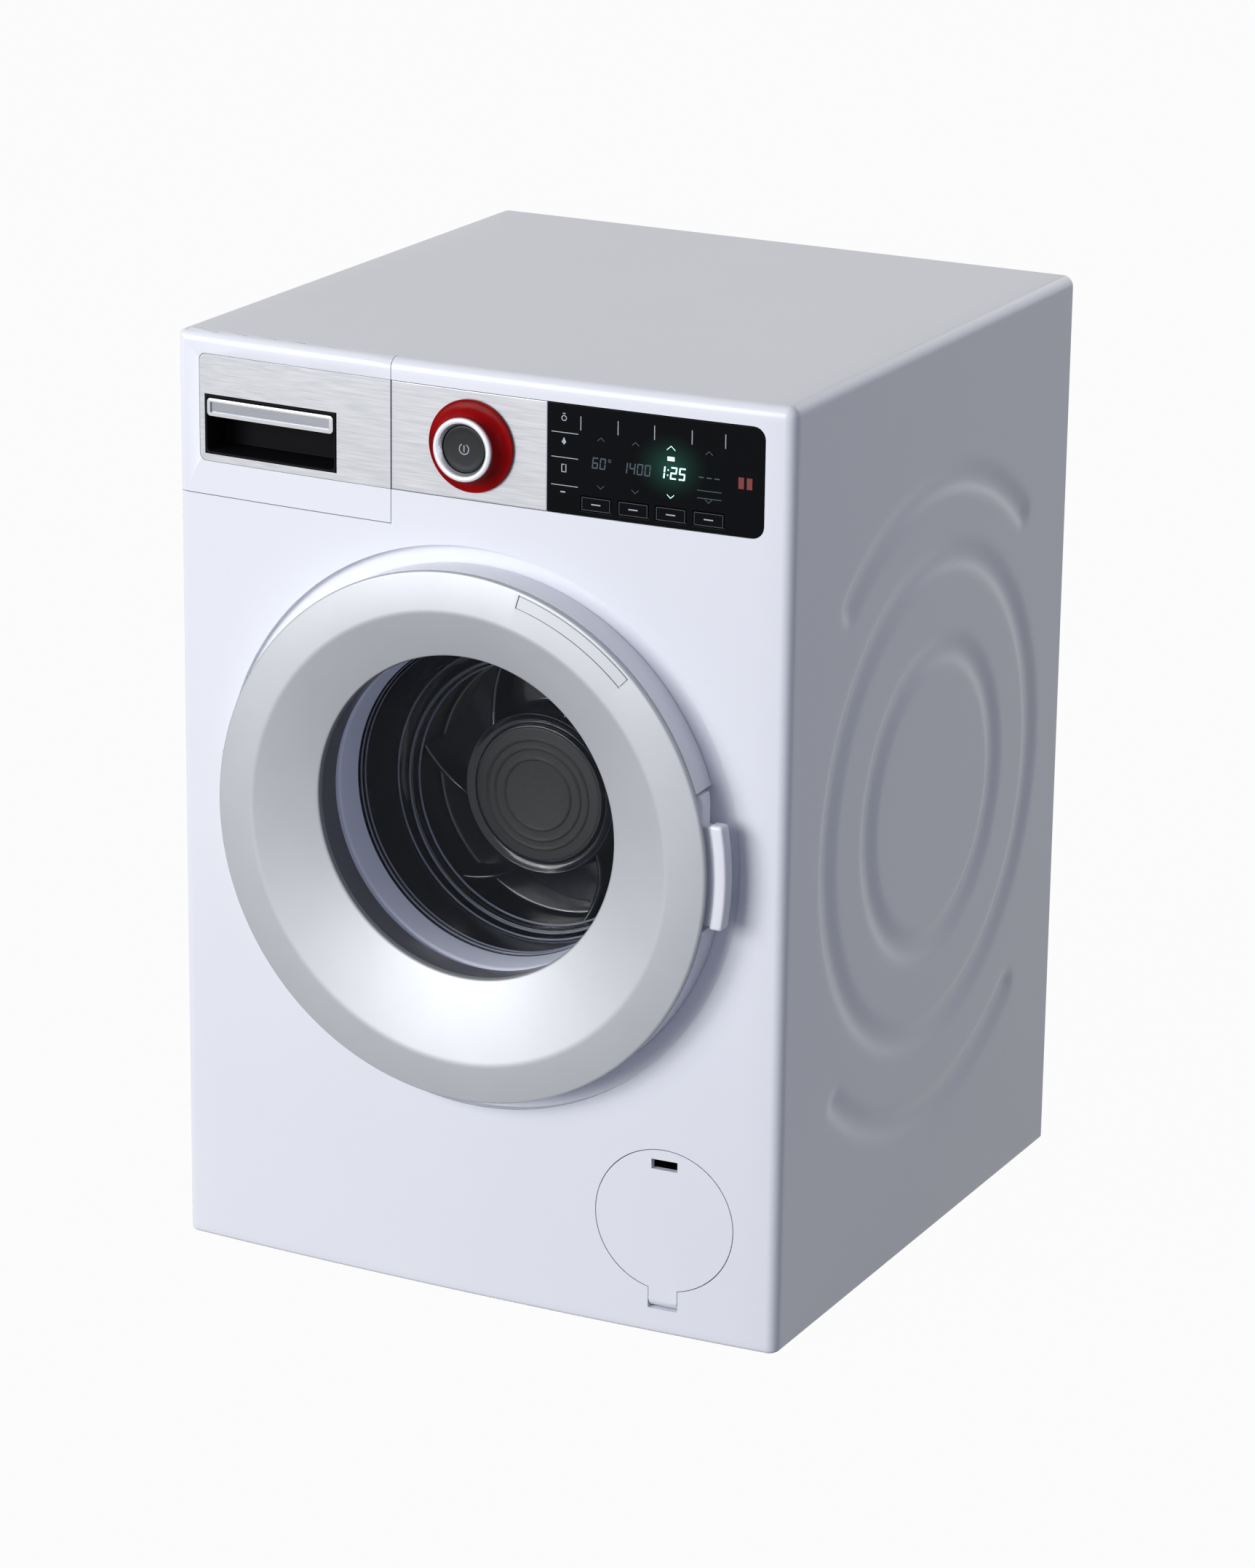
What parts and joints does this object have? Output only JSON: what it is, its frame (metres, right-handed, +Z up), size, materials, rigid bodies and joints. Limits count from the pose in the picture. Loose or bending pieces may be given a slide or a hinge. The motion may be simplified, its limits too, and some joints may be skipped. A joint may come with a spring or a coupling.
{
  "type": "toy washing machine",
  "caption": "Toy front-loading washing machine with opening door, turning wheel, drawer, programme knob, keys and service flap",
  "frame": {"origin": "middle of the footprint box, on the surface that the feet stand on", "axes": "+X to the right seen from the front, +Y to the back, +Z up; the door faces -Y"},
  "size_m": [0.1824, 0.1932, 0.26],
  "materials": {
    "white_plastic": "moulded, satin",
    "grey_plastic": "moulded, matt",
    "silver_plastic": "brushed silver foil",
    "silver_paint": "silver paint",
    "black_gloss": "polished",
    "dark_plastic": "moulded, dark grey",
    "smoke_plastic": "smoke tinted",
    "clear_plastic": "clear, polished",
    "lilac_plastic": "moulded, satin",
    "red_plastic": "see-through red",
    "chrome": "plated",
    "steel": "zinc plated",
    "brass": "turned",
    "nylon": "moulded",
    "rubber": "matt",
    "board": "solder mask",
    "lamp": "milky",
    "cell": "plain printed sleeve"
  },
  "bodies": {
    "cabinet": {"casing": "white_plastic", "back_cover": "grey_plastic", "back_screws": "steel", "feet": "rubber", "fascia_plate": "silver_plastic", "display_window": "black_gloss", "circuit_board": "board", "key_mat": "rubber", "rotary_switch": "grey_plastic", "lamps": "lamp", "speaker": "dark_plastic", "drawer_housing": "grey_plastic", "fill_duct": "rubber", "porthole_ring": "lilac_plastic", "tub": "dark_plastic", "inner_screws": "steel", "shaft_bush": "brass", "shaft_seal": "rubber", "gear_plate": "grey_plastic", "drive_screws": "steel", "motor": "steel", "idler_pin": "steel", "battery_box": "grey_plastic", "battery_cells": "cell", "battery_contacts": "steel", "battery_cover": "grey_plastic", "hinge_bracket": "white_plastic", "hinge_pin": "steel", "strike": "grey_plastic", "service_cup": "grey_plastic", "drain_plug": "grey_plastic", "drain_hose": "rubber"},
    "door": {"door_ring": "silver_paint", "door_frame": "white_plastic", "door_collar": "smoke_plastic", "door_window": "clear_plastic", "door_screws": "steel", "handle_pin": "steel", "handle_spring": "steel"},
    "handle": {"door_handle": "white_plastic"},
    "drawer": {"drawer_front": "white_plastic", "drawer_inlay": "silver_plastic", "grip_cup": "black_gloss", "grip_strip": "chrome", "drawer_tray": "white_plastic"},
    "knob": {"knob_skirt": "red_plastic", "knob_core": "dark_plastic", "knob_bezel": "chrome"},
    "button": {"power_button": "black_gloss"},
    "flap": {"service_flap": "white_plastic"},
    "key_a": {"key_1": "black_gloss"},
    "key_b": {"key_2": "black_gloss"},
    "key_c": {"key_3": "black_gloss"},
    "key_d": {"key_4": "black_gloss"},
    "wheel": {"drum_wheel": "dark_plastic", "wheel_shaft": "steel", "drive_gear": "nylon"},
    "idler": {"idler_gear": "nylon"},
    "pinion": {"motor_pinion": "brass"}
  },
  "joints": [
    {"name": "door_hinge", "type": "hinge", "parent": "cabinet", "child": "door", "pos_m": [-0.0715, -0.09055, 0.1346], "axis": [0, 0, -1], "range_deg": [0, 110]},
    {"name": "handle_pull", "type": "hinge", "parent": "door", "child": "handle", "pos_m": [0.0682, -0.08915, 0.1355], "axis": [0, 0, -1], "range_deg": [0, 12], "stiffness_Nm_per_rad": 0.02},
    {"name": "drawer_slide", "type": "slide", "parent": "cabinet", "child": "drawer", "axis": [0, -1, 0], "range_m": [0, 0.055]},
    {"name": "knob_turn", "type": "hinge", "parent": "cabinet", "child": "knob", "pos_m": [0, -0.08, 0.2396], "axis": [0, -1, 0], "continuous": true},
    {"name": "button_press", "type": "slide", "parent": "knob", "child": "button", "axis": [0, 1, 0], "range_m": [0, 0.0012], "stiffness_N_per_m": 600},
    {"name": "flap_hinge", "type": "hinge", "parent": "cabinet", "child": "flap", "pos_m": [0.0583, -0.08299, 0.0109], "axis": [1, 0, 0], "range_deg": [0, 90]},
    {"name": "key_1_press", "type": "slide", "parent": "cabinet", "child": "key_a", "axis": [0, 1, 0], "range_m": [0, 0.0008], "stiffness_N_per_m": 400},
    {"name": "key_2_press", "type": "slide", "parent": "cabinet", "child": "key_b", "axis": [0, 1, 0], "range_m": [0, 0.0008], "stiffness_N_per_m": 400},
    {"name": "key_3_press", "type": "slide", "parent": "cabinet", "child": "key_c", "axis": [0, 1, 0], "range_m": [0, 0.0008], "stiffness_N_per_m": 400},
    {"name": "key_4_press", "type": "slide", "parent": "cabinet", "child": "key_d", "axis": [0, 1, 0], "range_m": [0, 0.0008], "stiffness_N_per_m": 400},
    {"name": "wheel_spin", "type": "hinge", "parent": "cabinet", "child": "wheel", "pos_m": [0.0008, -0.05, 0.1346], "axis": [0, -1, 0], "continuous": true},
    {"name": "idler_spin", "type": "hinge", "parent": "cabinet", "child": "idler", "pos_m": [0.01585, -0.02, 0.10853], "axis": [0, -1, 0], "continuous": true},
    {"name": "pinion_spin", "type": "hinge", "parent": "cabinet", "child": "pinion", "pos_m": [0.03944, -0.015, 0.09995], "axis": [0, -1, 0], "continuous": true}
  ],
  "couplings": [
    {"joint": "idler_spin", "follows": "wheel_spin", "ratio": -4},
    {"joint": "pinion_spin", "follows": "wheel_spin", "ratio": 16}
  ]
}
